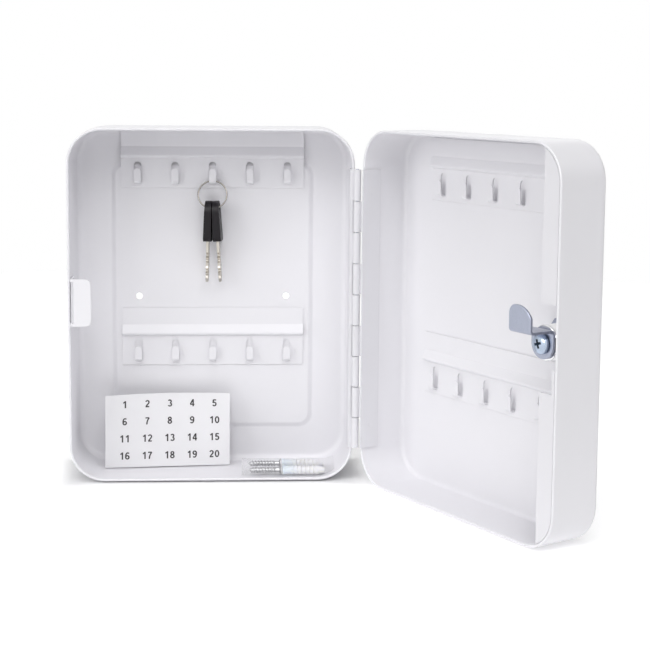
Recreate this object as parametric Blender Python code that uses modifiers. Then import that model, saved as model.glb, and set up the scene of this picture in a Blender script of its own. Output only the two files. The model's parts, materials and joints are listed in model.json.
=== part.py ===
"""Wall key cabinet: two drawn steel pans on a piano hinge, hook rails, a cam lock and its contents.

Frame: +X to the cabinet's right, +Y to the wall, +Z up. The origin is on the flat bottom
of the body, halfway across it and halfway between its rim and the wall.
The door is drawn closed and then turned open on its hinge.
"""
from math import acos, asin, cos, pi, radians, sin, sqrt

import bmesh
import bpy
from mathutils import Matrix, Vector

MM = 0.001

# Overall sizes
WIDTH = 160 * MM
HEIGHT = 200 * MM
BODY_DEPTH = 44 * MM
DOOR_DEPTH = 31 * MM
RIM_GAP = 5 * MM                    # between the two rims when the door is shut
SHEET = 1.5 * MM
CORNER_RADIUS = 20 * MM
BEND_RADIUS = 3 * MM
CLEARANCE = 0.3 * MM                # kept wherever two pieces touch
DOOR_OPEN = radians(121)

# Reference planes, door shut
MID = HEIGHT / 2
WALL = BODY_DEPTH / 2
BODY_RIM = -BODY_DEPTH / 2
DOOR_RIM = BODY_RIM - RIM_GAP
DOOR_FRONT = DOOR_RIM - DOOR_DEPTH
SIDE_INSIDE = WIDTH / 2 - SHEET
FLOOR = SHEET

# Raised back panel and its two wall holes
EMBOSS = 1.2 * MM
EMBOSS_HALF_WIDTH = 57.2 * MM
EMBOSS_HALF_HEIGHT = 77.2 * MM
EMBOSS_RADIUS = 7 * MM
EMBOSS_SLOPE = 1.28                 # run per unit of rise
WALL_HOLE_RADIUS = 2 * MM
WALL_HOLE_X = 43 * MM
PANEL = WALL - SHEET - EMBOSS

# Piano hinge
HINGE_X = WIDTH / 2 + 1.25 * MM
HINGE_Y = BODY_RIM - RIM_GAP / 2
HINGE_MID = MID - 1.3 * MM
HINGE_LENGTH = 158 * MM
KNUCKLES = 9
KNUCKLE_RADIUS = 2.1 * MM
KNUCKLE_GAP = 0.4 * MM
PIN_RADIUS = 0.85 * MM
LEAF = 0.9 * MM
LEAF_WIDTH = 13.3 * MM

# Hook rails; a rail's zero height is the top of its hook holes
RAIL_LENGTH = 106 * MM
RAIL_SHEET = 1 * MM
RAIL_TOP = 18.8 * MM
RAIL_BOTTOM = -15.4 * MM
RIDGE_START = 9.2 * MM
RIDGE_HEIGHT = 4.3 * MM
RIDGE_END = 2.3 * MM
RIDGE_REACH = 2.6 * MM
HOOKS = 5
HOOK_PITCH = 21.7 * MM
HOLE_WIDTH = 4.3 * MM
HOLE_DEPTH = 12 * MM
FINGER_WIDTH = 3.9 * MM
FINGER_REACH = 4.2 * MM
FINGER_TIP = -3.5 * MM
SHELF = -12.6 * MM
BODY_RAILS = {"hook_rail_body_top": MID + 79 * MM, "hook_rail_body_bottom": MID - 25 * MM}
DOOR_RAILS = {"hook_rail_door_top": (1 * MM, MID + 77 * MM),
              "hook_rail_door_bottom": (5 * MM, MID - 31.5 * MM)}

# Door stiffener and strike
STIFFENER_SHEET = 1.2 * MM
STIFFENER_EDGE = -68 * MM
STIFFENER_NOTCH = (-21 * MM, 22.5 * MM)
STRIKE_SHEET = 1.2 * MM
STRIKE_EDGE = -66.7 * MM
STRIKE_MID = MID + 2.8 * MM
STRIKE_HEIGHT = 26.5 * MM

# Cam lock; depths are y values with the door shut
LOCK_X = -58 * MM
LOCK_Z = MID + 0.3 * MM
BARREL_RADIUS = 9 * MM
BARREL_BORE = 6.6 * MM
BARREL_END = HINGE_Y - 14.7 * MM
FACE_RADIUS = 11 * MM
FACE_THICKNESS = 2 * MM
PLUG_RADIUS = 6.3 * MM
WAFERS = 5
WAFER_PITCH = 2.6 * MM
NUT_FLATS = 21 * MM
CAM_SHEET = 1.4 * MM
CAM_HALF_WIDTH = 7.9 * MM
CAM_STEP_HEIGHT = 6.8 * MM
CAM_TIP = 20.2 * MM
CAM_TIP_RADIUS = 11.8 * MM
CAM_REACH = 14.9 * MM
SCREW_HEAD_RADIUS = 5.4 * MM

# Keys on their split ring
RING_RADIUS = 8.3 * MM
RING_WIRE = 0.45 * MM
RING_PITCH = 1.05 * MM
RING_TILT = radians(20)
KEY_HOLE_RADIUS = 2.4 * MM
KEY_HEAD = (4.9 * MM, 14.8 * MM, 23.2 * MM)
KEY_HEAD_TAPER = 0.78               # thickness at its top as a share of that at its foot
KEY_SPACING = 4.3 * MM
KEY_SPLAY = (radians(1.3), radians(-3.1))
KEY_YAW = radians(-4)
KEY_BLADE_THICKNESS = 1.5 * MM
KEY_BLADE_WIDTH = 6.6 * MM
KEY_BLADE_LENGTH = 24 * MM

# Loose contents
LABELS_SIZE = (72 * MM, 41.5 * MM)
LABELS_X = -26 * MM
LABELS_SKEW = 3 * MM                # how far each end stands in front of or behind the middle
LABELS_THICKNESS = 0.4 * MM
FIXINGS_Y = (-4 * MM, -18.3 * MM)
SCREW_TIP_X = 20.5 * MM
SCREW_LENGTH = 19.3 * MM
WALL_PLUG_LENGTH = 24 * MM

COLOURS = {
    "grey_paint": ((0.78, 0.78, 0.80), 0.45, 0.0),
    "hinge_paint": ((0.74, 0.74, 0.77), 0.42, 0.0),
    "zinc": ((0.62, 0.66, 0.72), 0.28, 1.0),
    "chrome": ((0.80, 0.80, 0.82), 0.10, 1.0),
    "brass": ((0.72, 0.55, 0.28), 0.35, 1.0),
    "spring_steel": ((0.45, 0.44, 0.42), 0.30, 1.0),
    "nickel": ((0.70, 0.68, 0.62), 0.25, 1.0),
    "black_plastic": ((0.012, 0.012, 0.014), 0.45, 0.0),
    "paper": ((0.86, 0.86, 0.88), 0.80, 0.0),
    "plug_plastic": ((0.70, 0.80, 0.88), 0.50, 0.0),
    "film": ((0.90, 0.92, 0.94), 0.15, 0.0),
}

for old in list(bpy.data.objects):
    bpy.data.objects.remove(old, do_unlink=True)
PARTS = bpy.data.collections.new("KeyCabinet")
CUTTERS = bpy.data.collections.new("Cutters")
for group in (PARTS, CUTTERS):
    bpy.context.scene.collection.children.link(group)

MATERIALS = {}
for material_name, (colour, roughness, metallic) in COLOURS.items():
    material = bpy.data.materials.new(material_name)
    material.use_nodes = True
    shader = material.node_tree.nodes["Principled BSDF"]
    shader.inputs["Base Color"].default_value = (*colour, 1)
    shader.inputs["Roughness"].default_value = roughness
    shader.inputs["Metallic"].default_value = metallic
    MATERIALS[material_name] = material


# ---------------------------------------------------------------- helpers

def pivot(name, location, parent=None):
    """An empty on a joint's axis. Its pieces are drawn in the shut, untilted frame."""
    empty = bpy.data.objects.new(name, None)
    empty["drawn_at"] = tuple(location)
    empty.location = Vector(location)
    PARTS.objects.link(empty)
    if parent:
        empty.parent = parent
        empty.location -= Vector(parent["drawn_at"])
    return empty


def add(name, bm, material=None, parent=None):
    """Turn a bmesh into a part, or into a cutter when it has no material."""
    bmesh.ops.recalc_face_normals(bm, faces=bm.faces)
    mesh = bpy.data.meshes.new(name)
    bm.to_mesh(mesh)
    bm.free()
    piece = bpy.data.objects.new(name, mesh)
    if material:
        PARTS.objects.link(piece)
        mesh.materials.append(MATERIALS[material])
        mesh.shade_smooth()
        mesh.set_sharp_from_angle(angle=radians(35))
    else:
        CUTTERS.objects.link(piece)
        piece.hide_render = True
        piece.display_type = "WIRE"
    if parent:
        piece.parent = parent
        piece.matrix_parent_inverse = Matrix.Translation(-Vector(parent["drawn_at"]))
    return piece


def boolean(piece, tool, operation="DIFFERENCE"):
    modifier = piece.modifiers.new(operation.title(), "BOOLEAN")
    modifier.operation = operation
    modifier.object = tool


def block(low, high):
    """A box between two corners."""
    bm = bmesh.new()
    low, high = Vector(low), Vector(high)
    size = high - low
    bmesh.ops.create_cube(bm, size=1)
    bmesh.ops.scale(bm, vec=size, verts=bm.verts)
    bmesh.ops.translate(bm, vec=(low + high) / 2, verts=bm.verts)
    return bm


def edges_along(bm, axis, test=lambda middle: True):
    """The edges that run along an axis and whose middle passes a test."""
    found = []
    for edge in bm.edges:
        run = edge.verts[1].co - edge.verts[0].co
        straight = abs(run[axis]) > 0.999 * run.length
        if straight and test((edge.verts[0].co + edge.verts[1].co) / 2):
            found.append(edge)
    return found


def round_edges(bm, edges, radius, segments=4):
    bmesh.ops.bevel(bm, geom=edges, offset=radius, segments=segments, profile=0.5,
                    affect="EDGES", clamp_overlap=True)


def rod(axis, centre, radius, low, high, segments=24):
    """A cylinder along axis 0, 1 or 2, between two places on that axis."""
    bm = bmesh.new()
    bmesh.ops.create_cone(bm, cap_ends=True, segments=segments, radius1=radius, radius2=radius,
                          depth=high - low)
    turn = {0: Matrix.Rotation(pi / 2, 3, "Y"), 1: Matrix.Rotation(pi / 2, 3, "X"), 2: Matrix()}
    bmesh.ops.rotate(bm, matrix=turn[axis].to_3x3(), verts=bm.verts)
    place = Vector(centre)
    place[axis] = (low + high) / 2
    bmesh.ops.translate(bm, vec=place, verts=bm.verts)
    return bm


def slab(outline, axis, low, high):
    """A flat outline pushed along an axis. The outline lists the other two coordinates."""
    bm = bmesh.new()
    corners = []
    for first, second in outline:
        corner = [first, second]
        corner.insert(axis, low)
        corners.append(bm.verts.new(corner))
    face = bm.faces.new(corners)
    pushed = bmesh.ops.extrude_face_region(bm, geom=[face])["geom"]
    shift = Vector((0, 0, 0))
    shift[axis] = high - low
    bmesh.ops.translate(bm, vec=shift, verts=[v for v in pushed if isinstance(v, bmesh.types.BMVert)])
    return bm


def arc(centre, radius, start, end, steps):
    """Points on an arc, angles in degrees from the outline's first axis."""
    points = []
    for step in range(steps + 1):
        angle = radians(start + (end - start) * step / steps)
        points.append((centre[0] + radius * cos(angle), centre[1] + radius * sin(angle)))
    return points


def filleted(points, radius, steps=4):
    """An open path whose inner corners are rounded."""
    path = [Vector(points[0])]
    for before, corner, after in zip(points, points[1:], points[2:]):
        corner = Vector(corner)
        back = (Vector(before) - corner).normalized()
        ahead = (Vector(after) - corner).normalized()
        half = acos(max(-1, min(1, back.dot(ahead)))) / 2
        reach = radius / sin(half) * cos(half)
        centre = corner + (back + ahead).normalized() * radius / sin(half)
        first, last = corner + back * reach, corner + ahead * reach
        for step in range(steps + 1):
            spoke = (first - centre).lerp(last - centre, step / steps)
            path.append(centre + spoke.normalized() * radius)
    path.append(Vector(points[-1]))
    return path


def thickened(path, thickness):
    """The outline of a strip of sheet whose middle follows an open path."""
    left, right = [], []
    for index, point in enumerate(path):
        before = path[max(index - 1, 0)]
        after = path[min(index + 1, len(path) - 1)]
        if index in (0, len(path) - 1):
            run = (after - before).normalized()
            normal = Vector((-run.y, run.x))
        else:
            into, out = (point - before).normalized(), (after - point).normalized()
            normal = Vector((-into.y, into.x)) + Vector((-out.y, out.x))
            normal /= normal.dot(Vector((-into.y, into.x)))
        left.append(tuple(point + normal * thickness / 2))
        right.append(tuple(point - normal * thickness / 2))
    return left + right[::-1]


def turned(name, profile, centre, material, parent=None, segments=32, axis="Y"):
    """A solid of revolution. The profile lists radius and place along the axis, outer side first."""
    bm = bmesh.new()
    verts = [bm.verts.new((radius, 0, -along)) for radius, along in profile]
    for first, second in zip(verts, verts[1:]):
        bm.edges.new((first, second))
    mesh = bpy.data.meshes.new(name)
    bm.to_mesh(mesh)
    bm.free()
    piece = bpy.data.objects.new(name, mesh)
    PARTS.objects.link(piece)
    screw = piece.modifiers.new("Turn", "SCREW")
    screw.steps = screw.render_steps = segments
    screw.use_merge_vertices = True
    screw.merge_threshold = 0.00001
    screw.use_smooth_shade = True
    mesh.materials.append(MATERIALS[material])
    piece.location = centre
    piece.rotation_euler = {"Y": (pi / 2, 0, 0), "X": (0, -pi / 2, 0)}[axis]
    if parent:
        piece.parent = parent
        piece.matrix_parent_inverse = Matrix.Translation(-Vector(parent["drawn_at"]))
    return piece


# ---------------------------------------------------------------- the two pans

def pan(name, rim, panel, parent=None):
    """A drawn pan: four walls with round corners, open at its rim, closed by its panel."""
    bm = block((-WIDTH / 2, min(rim, panel), 0), (WIDTH / 2, max(rim, panel), HEIGHT))
    round_edges(bm, edges_along(bm, 1), CORNER_RADIUS, segments=8)
    mouth = [face for face in bm.faces if abs(face.calc_center_median().y - rim) < CLEARANCE]
    bmesh.ops.delete(bm, geom=mouth, context="FACES")
    border = [edge for edge in bm.edges if all(abs(v.co.y - panel) < CLEARANCE for v in edge.verts)]
    round_edges(bm, border, BEND_RADIUS, segments=3)
    shell = add(name, bm, "grey_paint", parent)
    solid = shell.modifiers.new("Sheet", "SOLIDIFY")
    solid.thickness = SHEET
    solid.offset = -1
    solid.use_even_offset = True
    return shell


def raised_block(name, half_width, half_height, front, back, spread):
    """A rounded block that widens by spread from its front to its back."""
    bm = block((-half_width, front, MID - half_height), (half_width, back, MID + half_height))
    round_edges(bm, edges_along(bm, 1), EMBOSS_RADIUS, segments=4)
    for vert in bm.verts:
        if vert.co.y > (front + back) / 2:
            vert.co.x *= 1 + spread / half_width
            vert.co.z = MID + (vert.co.z - MID) * (1 + spread / half_height)
    return add(name, bm)


def make_body():
    body = pan("body_shell", BODY_RIM, WALL)
    middle = WALL - SHEET / 2
    boolean(body, raised_block("emboss_front", EMBOSS_HALF_WIDTH, EMBOSS_HALF_HEIGHT, PANEL, middle,
                               (middle - PANEL) * EMBOSS_SLOPE), "UNION")
    floor = WALL - EMBOSS
    behind = WALL + EMBOSS
    inset = 0.5 * MM
    boolean(body, raised_block("emboss_back", EMBOSS_HALF_WIDTH - inset, EMBOSS_HALF_HEIGHT - inset,
                               floor, behind, (behind - floor) * EMBOSS_SLOPE))
    for side in (-1, 1):
        hole = rod(1, (side * WALL_HOLE_X, 0, MID), WALL_HOLE_RADIUS, PANEL - MM, WALL + MM, 16)
        boolean(body, add(f"wall_hole_{side}", hole))


def make_door(door):
    shell = pan("door_shell", DOOR_RIM, DOOR_FRONT, door)
    hole = rod(1, (LOCK_X, 0, LOCK_Z), BARREL_RADIUS + CLEARANCE, DOOR_FRONT - MM,
               DOOR_FRONT + SHEET + MM, 32)
    boolean(shell, add("lock_hole", hole, parent=door))


def make_stiffener(door):
    """In-turned edge strip with a leg along the side wall and a notch beside the lock."""
    outer = SIDE_INSIDE - CLEARANCE
    corner = WIDTH / 2 - CORNER_RADIUS
    radius = outer - corner
    turn = 90 - asin((-STIFFENER_EDGE - corner) / radius) * 180 / pi
    low, high = MID + STIFFENER_NOTCH[0], MID + STIFFENER_NOTCH[1]
    neck = -outer + 1.7 * MM
    outline = arc((-corner, CORNER_RADIUS), radius, 180 + turn, 180, 6)
    outline += arc((-corner, HEIGHT - CORNER_RADIUS), radius, 180, 180 - turn, 6)
    outline += [(STIFFENER_EDGE, high), (neck, high), (neck, low), (STIFFENER_EDGE, low)]
    front = DOOR_RIM - 0.5 * MM - STIFFENER_SHEET
    flange = add("door_edge_stiffener", slab(outline, 1, front, front + STIFFENER_SHEET),
                 "grey_paint", door)
    leg_x = -outer + 0.1 * MM
    leg = block((leg_x, front - 8 * MM, MID - 76 * MM),
                (leg_x + STIFFENER_SHEET, front + STIFFENER_SHEET / 2, MID + 76 * MM))
    boolean(flange, add("stiffener_leg", leg, parent=door), "UNION")


def make_strike():
    """Bracket on the lock-side wall that the cam turns behind; its slot lets the cam's tip in."""
    wall_x = -SIDE_INSIDE + CLEARANCE + STRIKE_SHEET / 2
    plate_y = HINGE_Y - 0.4 * MM
    path = filleted([(wall_x, plate_y + 16 * MM), (wall_x, plate_y), (STRIKE_EDGE, plate_y)], 0.8 * MM)
    half = STRIKE_HEIGHT / 2
    bm = slab(thickened(path, STRIKE_SHEET), 2, STRIKE_MID - half, STRIKE_MID + half)
    tips = edges_along(bm, 1, lambda middle: middle.x > STRIKE_EDGE - MM)
    round_edges(bm, tips, 3 * MM)
    strike = add("strike_plate", bm, "grey_paint")
    slot = block((wall_x - 2 * MM, plate_y - 2 * MM, STRIKE_MID - half + 1.6 * MM),
                 (wall_x + 1.2 * MM, plate_y + 3.6 * MM, STRIKE_MID + half - 1.6 * MM))
    boolean(strike, add("strike_slot", slot))


# ---------------------------------------------------------------- piano hinge

def hinge_leaf(name, side, first_cut, parent=None):
    """One leaf: a plate inside the wall, a strip round the rim and every second knuckle.

    side is 1 for the body, whose wall lies behind the pin, and -1 for the door.
    """
    inside = SIDE_INSIDE - CLEARANCE
    join = KNUCKLE_RADIUS - LEAF
    turn = asin(join / KNUCKLE_RADIUS) * 180 / pi
    outline = [(inside - LEAF, LEAF_WIDTH), (inside, LEAF_WIDTH), (inside, KNUCKLE_RADIUS)]
    outline += arc((HINGE_X, 0), KNUCKLE_RADIUS, 90, -180 - turn, 20)
    outline += [(inside - LEAF, join)]
    outline = [(x, HINGE_Y + side * y) for x, y in outline]
    low, high = HINGE_MID - HINGE_LENGTH / 2, HINGE_MID + HINGE_LENGTH / 2
    leaf = add(name, slab(outline, 2, low, high), "hinge_paint", parent)
    bore = rod(2, (HINGE_X, HINGE_Y, 0), PIN_RADIUS + CLEARANCE, low - MM, high + MM, 16)
    boolean(leaf, add(name + "_bore", bore, parent=parent))
    step = HINGE_LENGTH / KNUCKLES
    for index in range(first_cut, KNUCKLES, 2):
        bottom = low + index * step - (KNUCKLE_GAP / 2 if index else MM)
        top = low + (index + 1) * step + (KNUCKLE_GAP / 2 if index < KNUCKLES - 1 else MM)
        cut = block((inside + 0.15 * MM, HINGE_Y - 3 * MM, bottom),
                    (HINGE_X + 3 * MM, HINGE_Y + 3 * MM, top))
        boolean(leaf, add(f"{name}_cut_{index}", cut, parent=parent))


def make_hinge(door):
    hinge_leaf("hinge_leaf_body", 1, 1)
    hinge_leaf("hinge_leaf_door", -1, 0, door)
    half = HINGE_LENGTH / 2 + CLEARANCE
    pin = rod(2, (HINGE_X, HINGE_Y, 0), PIN_RADIUS, HINGE_MID - half, HINGE_MID + half, 16)
    add("hinge_pin", pin, "zinc")


# ---------------------------------------------------------------- hook rails

def rail_sheet():
    """Label strip, ridge and hook plate as one bent strip; the hooks come forward, towards -Y."""
    path = [(0, RAIL_TOP), (0, RIDGE_START), (-RIDGE_REACH, RIDGE_HEIGHT), (-RIDGE_REACH, RIDGE_END + MM),
            (0, RIDGE_END), (0, RAIL_BOTTOM)]
    path = filleted(path, 0.45 * MM, 2)
    shifted = [point - Vector((RAIL_SHEET / 2, 0)) for point in path]
    return slab(thickened(shifted, RAIL_SHEET), 0, -RAIL_LENGTH / 2, RAIL_LENGTH / 2)


def hook_finger(x):
    """A shelf that starts inside the plate and a finger that stands up from it."""
    path = filleted([(-RAIL_SHEET * 0.4, SHELF), (-FINGER_REACH, SHELF), (-FINGER_REACH, FINGER_TIP)],
                    1.1 * MM)
    bm = slab(thickened(path, RAIL_SHEET), 0, x - FINGER_WIDTH / 2, x + FINGER_WIDTH / 2)
    round_edges(bm, edges_along(bm, 1, lambda middle: middle.z > FINGER_TIP - MM), 1.9 * MM, 3)
    return bm


def hook_hole(x):
    radius = HOLE_WIDTH / 2
    outline = [(x - radius, -HOLE_DEPTH), (x + radius, -HOLE_DEPTH)]
    outline += arc((x, -radius), radius, 0, 180, 8)
    return slab(outline, 1, -RAIL_SHEET - MM, MM)


def merged(builders):
    """Several separate solids in one bmesh, for use as one Boolean tool."""
    whole = bmesh.new()
    for bm in builders:
        mesh = bpy.data.meshes.new("merge")
        bmesh.ops.recalc_face_normals(bm, faces=bm.faces)
        bm.to_mesh(mesh)
        bm.free()
        whole.from_mesh(mesh)
        bpy.data.meshes.remove(mesh)
    return whole


def hook_rail(name, x, y, z, facing, parent=None):
    """A rail whose back lies at y. facing turns it about Z: 0 for the body, pi for the door."""
    places = [(index - (HOOKS - 1) / 2) * HOOK_PITCH for index in range(HOOKS)]
    rail = add(name, rail_sheet(), "grey_paint", parent)
    holes = add(name + "_holes", merged(hook_hole(place) for place in places), parent=parent)
    fingers = add(name + "_fingers", merged(hook_finger(place) for place in places), parent=parent)
    for piece in (rail, holes, fingers):
        piece.location = (x, y, z)
        piece.rotation_euler.z = facing
    boolean(rail, holes)
    boolean(rail, fingers, "UNION")


def make_rails(door):
    for name, z in BODY_RAILS.items():
        hook_rail(name, 0, PANEL - CLEARANCE, z, 0)
    for name, (x, z) in DOOR_RAILS.items():
        hook_rail(name, x, DOOR_FRONT + SHEET + CLEARANCE, z, pi, door)


# ---------------------------------------------------------------- cam lock

def make_lock(door, rotor):
    face = DOOR_FRONT - FACE_THICKNESS - CLEARANCE
    seat = DOOR_FRONT - CLEARANCE
    edge = 0.6 * MM
    profile = [(BARREL_BORE, face), (FACE_RADIUS - edge, face), (FACE_RADIUS, face + edge),
               (FACE_RADIUS, seat), (BARREL_RADIUS, seat), (BARREL_RADIUS, BARREL_END),
               (BARREL_BORE, BARREL_END), (BARREL_BORE, face)]
    turned("lock_barrel", profile, (LOCK_X, 0, LOCK_Z), "chrome", door)
    inner = DOOR_FRONT + SHEET + CLEARANCE
    washer_end = inner + MM
    washer_hole = BARREL_RADIUS + CLEARANCE
    profile = [(washer_hole, inner), (NUT_FLATS / 2 + MM, inner), (NUT_FLATS / 2 + MM, washer_end),
               (washer_hole, washer_end), (washer_hole, inner)]
    turned("lock_washer", profile, (LOCK_X, 0, LOCK_Z), "zinc", door)
    start = washer_end + CLEARANCE
    hexagon = [(LOCK_X + x, LOCK_Z + z) for x, z in arc((0, 0), NUT_FLATS / sqrt(3), 0, 300, 5)]
    nut = add("lock_nut", slab(hexagon, 1, start, start + 4.5 * MM), "zinc", door)
    thread = rod(1, (LOCK_X, 0, LOCK_Z), washer_hole, start - MM, start + 6 * MM, 32)
    boolean(nut, add("nut_thread", thread, parent=door))
    make_plug(face + CLEARANCE, rotor)
    make_cam(rotor)


def make_plug(front, rotor):
    """The rotor, with a keyway, a slot for each wafer and a tapped hole for the cam's screw."""
    end = BARREL_END
    plug = add("lock_plug", rod(1, (LOCK_X, 0, LOCK_Z), PLUG_RADIUS, front, end, 32), "chrome", rotor)
    keyway = block((LOCK_X - 1.2 * MM, front - MM, LOCK_Z - 4 * MM),
                   (LOCK_X + 1.2 * MM, front + 14.7 * MM, LOCK_Z + 4 * MM))
    boolean(plug, add("keyway", keyway, parent=rotor))
    tapped = rod(1, (LOCK_X, 0, LOCK_Z), 1.8 * MM, end - 4.5 * MM, end + MM, 12)
    boolean(plug, add("screw_thread", tapped, parent=rotor))
    for index in range(WAFERS):
        y = front + 3 * MM + index * WAFER_PITCH
        room = block((LOCK_X - 2.8 * MM, y - CLEARANCE, LOCK_Z - 7 * MM),
                     (LOCK_X + 4.8 * MM, y + MM + CLEARANCE, LOCK_Z + 7 * MM))
        boolean(plug, add(f"wafer_slot_{index + 1}", room, parent=rotor))
        level = LOCK_Z + (index % 3 - 1) * 0.25 * MM
        plate = block((LOCK_X - 2.5 * MM, y, level - 5 * MM), (LOCK_X + 2.5 * MM, y + MM, level + 5 * MM))
        wafer = add(f"lock_wafer_{index + 1}", plate, "brass", rotor)
        window = block((LOCK_X - 1.5 * MM, y - MM, level - 3.6 * MM),
                       (LOCK_X + 1.5 * MM, y + 2 * MM, level + 3.6 * MM))
        boolean(wafer, add(f"wafer_window_{index + 1}", window, parent=rotor))
        wafer_spring(f"lock_spring_{index + 1}", (LOCK_X + 3.6 * MM, y + 0.5 * MM, LOCK_Z), rotor)


def wafer_spring(name, centre, rotor):
    """A three-turn coil beside its wafer."""
    turns, per_turn, radius, length = 3, 6, 0.5 * MM, 3.6 * MM
    curve = bpy.data.curves.new(name, "CURVE")
    curve.dimensions = "3D"
    curve.bevel_depth = 0.14 * MM
    curve.bevel_resolution = 0
    curve.use_fill_caps = True
    spline = curve.splines.new("POLY")
    count = turns * per_turn + 1
    spline.points.add(count - 1)
    for index, point in enumerate(spline.points):
        angle = 2 * pi * index / per_turn
        height = length * (index / (count - 1) - 0.5)
        point.co = (radius * cos(angle), radius * sin(angle) * 0.6, height, 1)
    coil = bpy.data.objects.new(name, curve)
    curve.materials.append(MATERIALS["spring_steel"])
    PARTS.objects.link(coil)
    coil.location = centre
    coil.parent = rotor
    coil.matrix_parent_inverse = Matrix.Translation(-Vector(rotor["drawn_at"]))


def flag_waste(flag):
    """What is cut from a square flag: a round shoulder on one side and a long arc on the other."""
    wide, top = CAM_HALF_WIDTH, LOCK_Z + CAM_TIP
    peak = 2.4 * MM
    drop = CAM_TIP_RADIUS - sqrt(CAM_TIP_RADIUS ** 2 - (wide + peak) ** 2)
    shoulder = wide - peak
    curve = [(LOCK_X - wide - MM, top + MM), (LOCK_X - wide - MM, top - drop)]
    for step in range(9):
        along = (wide + peak) * (1 - step / 8)
        curve.append((LOCK_X + peak - along, top - CAM_TIP_RADIUS + sqrt(CAM_TIP_RADIUS ** 2 - along ** 2)))
    curve += arc((LOCK_X + peak, top - shoulder), shoulder, 90, 0, 8)[1:]
    curve += [(LOCK_X + wide + MM, top - shoulder), (LOCK_X + wide + MM, top + MM)]
    return slab(curve, 1, flag - 2 * MM, flag + 2 * MM)


def make_cam(rotor):
    """Round-ended base, a step towards the body and a flag; unlocked, the flag points up."""
    base = BARREL_END + CLEARANCE + CAM_SHEET / 2
    flag = base + CAM_REACH
    step = CAM_STEP_HEIGHT
    path = filleted([(base, -CAM_HALF_WIDTH), (base, step), (flag, step), (flag, CAM_TIP)], 1.1 * MM, 3)
    outline = [(y, LOCK_Z + z) for y, z in thickened(path, CAM_SHEET)]
    bm = slab(outline, 0, LOCK_X - CAM_HALF_WIDTH, LOCK_X + CAM_HALF_WIDTH)
    foot = edges_along(bm, 1, lambda middle: middle.z < LOCK_Z - CAM_HALF_WIDTH + MM)
    round_edges(bm, foot, CAM_HALF_WIDTH * 0.98, 8)
    cam = add("lock_cam", bm, "zinc", rotor)
    boolean(cam, add("cam_flag_outline", flag_waste(flag), parent=rotor))
    hole = rod(1, (LOCK_X, 0, LOCK_Z), 2 * MM, base - 2 * MM, base + 2 * MM, 16)
    boolean(cam, add("cam_hole", hole, parent=rotor))
    under = base + CAM_SHEET / 2 + CLEARANCE
    shank = 1.5 * MM
    head = SCREW_HEAD_RADIUS
    profile = [(0, under - 6 * MM), (shank, under - 6 * MM), (shank, under), (head, under)]
    profile += [(head * cos(radians(turn)), under + 1.2 * MM + 1.4 * MM * sin(radians(turn)))
                for turn in (0, 20, 40, 65)]
    profile += [(0, under + 2.6 * MM)]
    screw = turned("cam_screw", profile, (LOCK_X, 0, LOCK_Z), "zinc", rotor, 24)
    reach, half = 3 * MM, 0.55 * MM
    low, high = under + 0.9 * MM, under + 4 * MM
    cross = merged([block((LOCK_X - reach, low, LOCK_Z - half), (LOCK_X + reach, high, LOCK_Z + half)),
                    block((LOCK_X - half, low, LOCK_Z - reach), (LOCK_X + half, high, LOCK_Z + reach))])
    tool = add("cross_recess", cross, parent=rotor)
    boolean(screw, tool)
    screw.modifiers[-1].use_self = True


# ---------------------------------------------------------------- keys

def make_keys(ring_pivot, key_pivots):
    top = Vector(ring_pivot["drawn_at"])
    centre = top - Vector((0, 0, RING_RADIUS))
    curve = bpy.data.curves.new("key_ring", "CURVE")
    curve.dimensions = "3D"
    curve.bevel_depth = RING_WIRE
    curve.bevel_resolution = 1
    curve.use_fill_caps = True
    spline = curve.splines.new("POLY")
    per_turn = 28
    count = 2 * per_turn - 1
    spline.points.add(count - 1)
    for index, point in enumerate(spline.points):
        angle = 2 * pi * index / per_turn + 0.3
        along = RING_PITCH * (index / (count - 1) - 0.5)
        point.co = (RING_RADIUS * sin(angle), along, RING_RADIUS * cos(angle), 1)
    ring = bpy.data.objects.new("key_ring", curve)
    curve.materials.append(MATERIALS["nickel"])
    PARTS.objects.link(ring)
    ring.location = centre
    ring.parent = ring_pivot
    ring.matrix_parent_inverse = Matrix.Translation(-top)
    thick, deep, tall = KEY_HEAD
    for number, key_pivot in enumerate(key_pivots, 1):
        hole = Vector(key_pivot["drawn_at"])
        x, y = hole.x, hole.y
        head_top = hole.z + KEY_HOLE_RADIUS + MM
        head_bottom = head_top - tall
        bm = block((x - thick / 2, y - deep / 2, head_bottom), (x + thick / 2, y + deep / 2, head_top))
        round_edges(bm, edges_along(bm, 0, lambda middle: middle.z > head_top - MM), 6 * MM, 5)
        round_edges(bm, edges_along(bm, 0, lambda middle: middle.z < head_bottom + MM), 2 * MM, 3)
        for vert in bm.verts:
            height = (vert.co.z - head_bottom) / tall
            vert.co.x = x + (vert.co.x - x) * (1 + (KEY_HEAD_TAPER - 1) * height)
        flat = [edge for edge in bm.edges if (edge.verts[0].co.x - x) * (edge.verts[1].co.x - x) > 0]
        round_edges(bm, flat, 0.7 * MM, 2)
        head = add(f"key_{number}_head", bm, "black_plastic", key_pivot)
        eye = rod(0, (0, hole.y, hole.z), KEY_HOLE_RADIUS, x - thick, x + thick, 20)
        boolean(head, add(f"key_{number}_eye", eye, parent=key_pivot))
        pocket_half = KEY_BLADE_THICKNESS / 2 + CLEARANCE
        wide = KEY_BLADE_WIDTH / 2 + CLEARANCE
        pocket = block((x - pocket_half, y - wide, head_bottom - MM),
                       (x + pocket_half, y + wide, head_bottom + 8 * MM))
        boolean(head, add(f"key_{number}_pocket", pocket, parent=key_pivot))
        outline = blade_outline(y, head_bottom + 7.5 * MM, head_bottom - KEY_BLADE_LENGTH)
        blade = slab(outline, 0, x - KEY_BLADE_THICKNESS / 2, x + KEY_BLADE_THICKNESS / 2)
        add(f"key_{number}_blade", blade, "nickel", key_pivot)


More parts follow.
